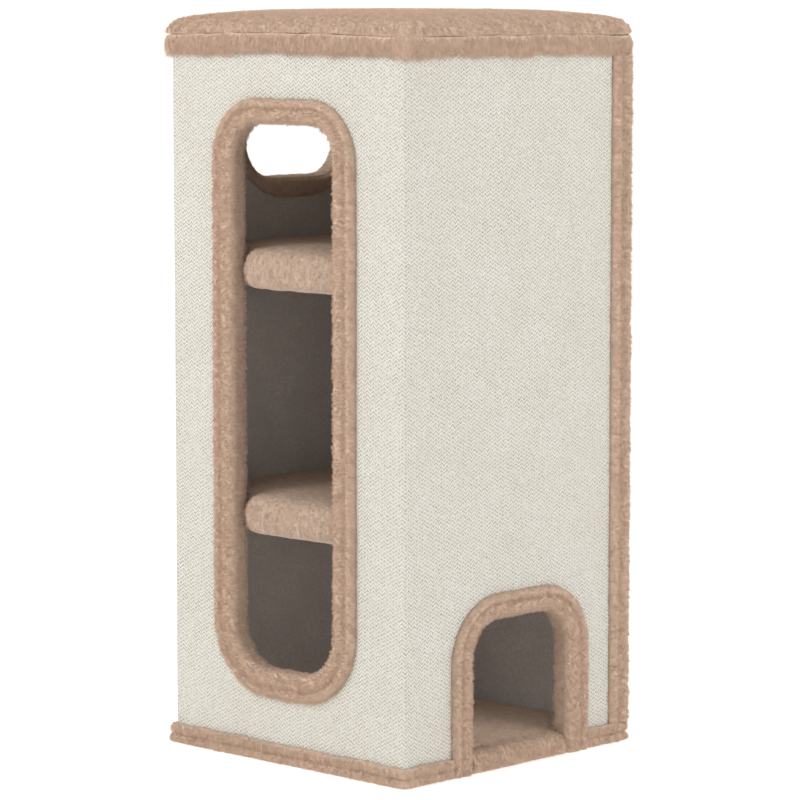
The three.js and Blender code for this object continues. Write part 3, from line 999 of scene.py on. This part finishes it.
def sisal_look():
    """Rows of yarn that zigzag along the mat's own length, with painted shade in the gaps between them
    and in the creases where they turn. Noise bends the rows."""
    look = Look("sisal", (0.76, 0.72, 0.63), 0.9)
    xyz = look.tree.nodes.new("ShaderNodeSeparateXYZ")
    look.put(xyz.inputs[0], look.place)
    u_node = look.tree.nodes.new("ShaderNodeAttribute")
    u_node.attribute_name = "wrap_u"

    def stray(scale, size):
        return look.math("MULTIPLY", look.math("SUBTRACT", look.noise(scale), 0.5), size)

    u = look.math("ADD", u_node.outputs["Fac"], stray(70, 0.0045))
    z = look.math("ADD", xyz.outputs["Z"], look.math("ADD", stray(25, 0.003), stray(190, 0.0016)))
    turn = look.math("MULTIPLY", look.math("DIVIDE", u, WARP / 2), math.pi)
    wave = look.math("MULTIPLY", look.math("COSINE", turn), 0.97)
    zig = look.math("DIVIDE", look.math("ARCSINE", wave), math.pi)
    row_at = look.math("DIVIDE", look.math("ADD", z, look.math("MULTIPLY", zig, ZIG)), WEFT)
    v = look.math("ABSOLUTE", look.math("SUBTRACT", look.math("FRACT", row_at), 0.5))
    gap = look.spread(v, 0.21, 0.47)
    crease = look.spread(look.math("ABSOLUTE", look.math("SINE", turn)), 0.0, 0.5, 1.0, 0.0)
    fibre = look.noise(1.0, 4, look.stretch((420, 420, 900)), 0.75)
    depth = look.math("MAXIMUM", gap, look.math("MULTIPLY", crease, 0.5))
    # painted shade in the gaps and creases, deeper or lighter at random
    painted_gap_shade = look.math("MULTIPLY", depth, look.spread(look.noise(330, 1), 0.3, 0.6, 0.3, 1.0))
    tone = look.blend(painted_gap_shade, YARN, GAP_SHADE_TONE)
    tone = look.blend(look.spread(fibre, 0.5, 0.72, 0.0, 0.5), tone, YARN_DARK)
    height = look.math("ADD", look.math("SUBTRACT", 1.0, depth), look.math("MULTIPLY", fibre, 0.5))
    patch = look.blend(look.spread(look.noise(16, 4), 0.3, 0.7), (0.965, 0.955, 0.935), (1, 1, 1))
    mult = look.tree.nodes.new("ShaderNodeMix")
    mult.data_type = "RGBA"
    mult.blend_type = "MULTIPLY"
    mult.inputs[0].default_value = 1.0
    look.put(mult.inputs[6], tone)
    look.put(mult.inputs[7], patch)
    # darker spots only in the gaps: more painted shade there
    painted_gap_speck = look.math("MULTIPLY", look.math("GREATER_THAN", look.noise(260, 1), 0.70), gap)
    look.color(look.blend(look.math("MULTIPLY", painted_gap_speck, 0.7), mult.outputs[2], (0.16, 0.13, 0.09)))
    look.bump(height, 0.7, 0.0014)
    look.bsdf.inputs["Sheen Weight"].default_value = 0.08
    look.bsdf.inputs["Specular IOR Level"].default_value = 0.2
    return look.mat


def felt_look():
    """Short nap with painted shade in its depths, over broad soft patches."""
    look = Look("felt", (0.24, 0.22, 0.205), 0.95)
    nap = look.noise(420, 3, rough=0.65)
    broad = look.noise(22, 3)
    tone = look.blend(look.spread(broad, 0.3, 0.7), (0.56, 0.515, 0.485), (0.66, 0.61, 0.575))
    # painted shade: darker where the nap is low
    look.color(look.blend(look.spread(nap, 0.35, 0.65), (0.47, 0.43, 0.40), tone))
    look.bump(nap, 0.5, 0.0008)
    look.bsdf.inputs["Sheen Weight"].default_value = 0.25
    return look.mat


def wood_look(name, dark, light, grain):
    look = Look(name, light, 0.7)
    lines = look.noise(1.0, 5, look.stretch(grain), 0.6)
    look.color(look.blend(look.spread(lines, 0.35, 0.65), dark, light))
    look.bump(lines, 0.3, 0.0006)
    return look.mat


def steel_look():
    look = Look("zinc_steel", (0.62, 0.62, 0.64), 0.4)
    marks = look.noise(500, 2)
    look.put(look.bsdf.inputs["Roughness"], look.spread(marks, 0.3, 0.7, 0.3, 0.5))
    look.color(look.blend(marks, (0.55, 0.55, 0.57), (0.70, 0.70, 0.72)))
    look.bsdf.inputs["Metallic"].default_value = 1.0
    return look.mat


sisal_mat_look, felt_mat = sisal_look(), felt_look()
CAD_LOOKS = {
    "board": wood_look("chipboard", (0.42, 0.29, 0.17), (0.62, 0.46, 0.29), (240, 240, 240)),
    "batten": wood_look("softwood", (0.60, 0.43, 0.24), (0.78, 0.61, 0.38), (160, 160, 9)),
    "steel": steel_look(),
}


def dress(obj, look):
    """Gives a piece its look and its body."""
    obj.data.materials.clear()
    obj.data.materials.append(look)
    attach(obj, "root")


furry = [*trims, base_band, lid_band, strip, *shelves, lid, floor_cover, sill]
for piece in furry:
    # the shelves take the copy darkened as painted shade
    dress(piece, plush_shaded if piece in shelves else plush)
dress(mat, sisal_mat_look)
for piece in felts:
    dress(piece, felt_mat)
for part in frame["record"]["subparts"]:
    look = CAD_LOOKS.get(part["material_slot"])
    if look:
        nodes[part["node"]].data.materials.clear()
        nodes[part["node"]].data.materials.append(look)


# --- the pile ------------------------------------------------------------------


LONG, INNER_LONG, HOLE_LONG = 3.2, 2.4, 2.0  # mm, outside, inside the tower, and on the upper hole's trim
DENSE, INNER_DENSE = 0.12, 0.07  # hairs to a square mm, before their children
COMB, LID_COMB = 0.00045, 0.0014  # how strongly the hair is combed down


def grow_pile(obj, per_mm2, length, seed, comb):
    """Short hair on the shown side of a plush piece."""
    obj.data.materials.append(hair_shaded if obj in shelves else hair_mat)
    area = sum(p.area for p in obj.data.polygons) / MM / MM
    obj.modifiers.new("pile", "PARTICLE_SYSTEM")
    system = obj.particle_systems[0]
    system.seed = seed
    system.vertex_group_density = "pile"
    s = system.settings
    s.type = "HAIR"
    s.count = int(area * per_mm2)
    s.hair_length = length * MM
    s.hair_step = 3
    s.render_step = 3
    s.display_step = 2
    s.material = 2
    s.root_radius = 0.20
    s.tip_radius = 0.06
    s.radius_scale = MM
    s.shape = 0.2
    s.use_advanced_hair = True
    s.brownian_factor = 0.0
    s.factor_random = 0.0008 * length / 4
    s.length_random = 0.5
    s.tangent_factor = 0.0
    s.object_align_factor = (0, 0, -comb * length / 4)
    s.child_type = "INTERPOLATED"
    s.rendered_child_count = 10
    s.child_length = 1.0
    s.clump_factor = 0.25
    s.clump_shape = 0.2
    s.roughness_1 = 0.0006
    s.roughness_2 = 0.0008
    s.roughness_endpoint = 0.0004
    s.use_modifier_stack = False


for k, piece in enumerate(furry):
    inner = piece in (*shelves, floor_cover)
    length = HOLE_LONG if piece is hole_trim else INNER_LONG if inner else LONG
    comb = LID_COMB if piece is lid_band else COMB
    grow_pile(piece, INNER_DENSE if inner else DENSE, length, 20 + k, comb)


# --- light, floor, camera --------------------------------------------------------

SKY_FROM, SKY_TO = 0.12, 0.95  # the sky dims between these heights, where 1 is overhead
SKY_BRIGHT, SKY_DIM = 1.15, 0.46  # its strength near the horizon and overhead

scene.view_settings.view_transform = "Standard"
world = bpy.data.worlds.new("studio")
scene.world = world
world.use_nodes = True
sky = world.node_tree.nodes["Background"]
sky.inputs["Color"].default_value = (1.0, 1.0, 1.0, 1)
aim_node = world.node_tree.nodes.new("ShaderNodeTexCoord")
up_node = world.node_tree.nodes.new("ShaderNodeSeparateXYZ")
dim = world.node_tree.nodes.new("ShaderNodeMapRange")
for k, value in enumerate((SKY_FROM, SKY_TO, SKY_BRIGHT, SKY_DIM)):
    dim.inputs[k + 1].default_value = value
world.node_tree.links.new(aim_node.outputs["Generated"], up_node.inputs[0])
world.node_tree.links.new(up_node.outputs["Z"], dim.inputs[0])
world.node_tree.links.new(dim.outputs[0], sky.inputs["Strength"])

floor_mesh = bpy.data.meshes.new("floor")
REACH = 60.0
corners = [(-REACH, -REACH, 0), (REACH, -REACH, 0), (REACH, REACH, 0), (-REACH, REACH, 0)]
floor_mesh.from_pydata(corners, [], [(0, 1, 2, 3)])
floor = bpy.data.objects.new("floor", floor_mesh)
scene.collection.objects.link(floor)
floor_look = Look("pale_floor", (0.97, 0.97, 0.97), 0.9)
floor_look.color(floor_look.blend(floor_look.noise(3, 1), (0.71, 0.71, 0.71), (0.73, 0.73, 0.73)))
floor_look.bsdf.inputs["Emission Color"].default_value = (1, 1, 1, 1)
floor_look.bsdf.inputs["Emission Strength"].default_value = 0.57
floor_mesh.materials.append(floor_look.mat)

TOWER_MIDDLE = (0, 0, 0.5)


def area_light(name, place, size, power):
    """A square lamp of that size, turned to the tower's middle."""
    lamp = bpy.data.lights.new(name, "AREA")
    lamp.shape = "RECTANGLE"
    lamp.size = lamp.size_y = size
    lamp.energy = power
    obj = bpy.data.objects.new(name, lamp)
    obj.location = place
    obj.rotation_euler = (Vector(TOWER_MIDDLE) - Vector(place)).to_track_quat("-Z", "Y").to_euler()
    scene.collection.objects.link(obj)


area_light("key", (-1.2, -3.0, 2.6), size=2.0, power=57)
area_light("fill", (3.0, 0.4, 1.9), size=1.8, power=26)

camera_data = bpy.data.cameras.new("photo_angle")
camera_data.lens = 162.3885
camera_data.sensor_width = 36.0
camera_data.clip_end = 60.0
camera = bpy.data.objects.new("photo_angle", camera_data)
camera.location = (3.27048, -3.42128, 0.991995)
camera.rotation_euler = (math.radians(83.54663), 0.0, math.radians(43.69972))
scene.collection.objects.link(camera)
scene.camera = camera
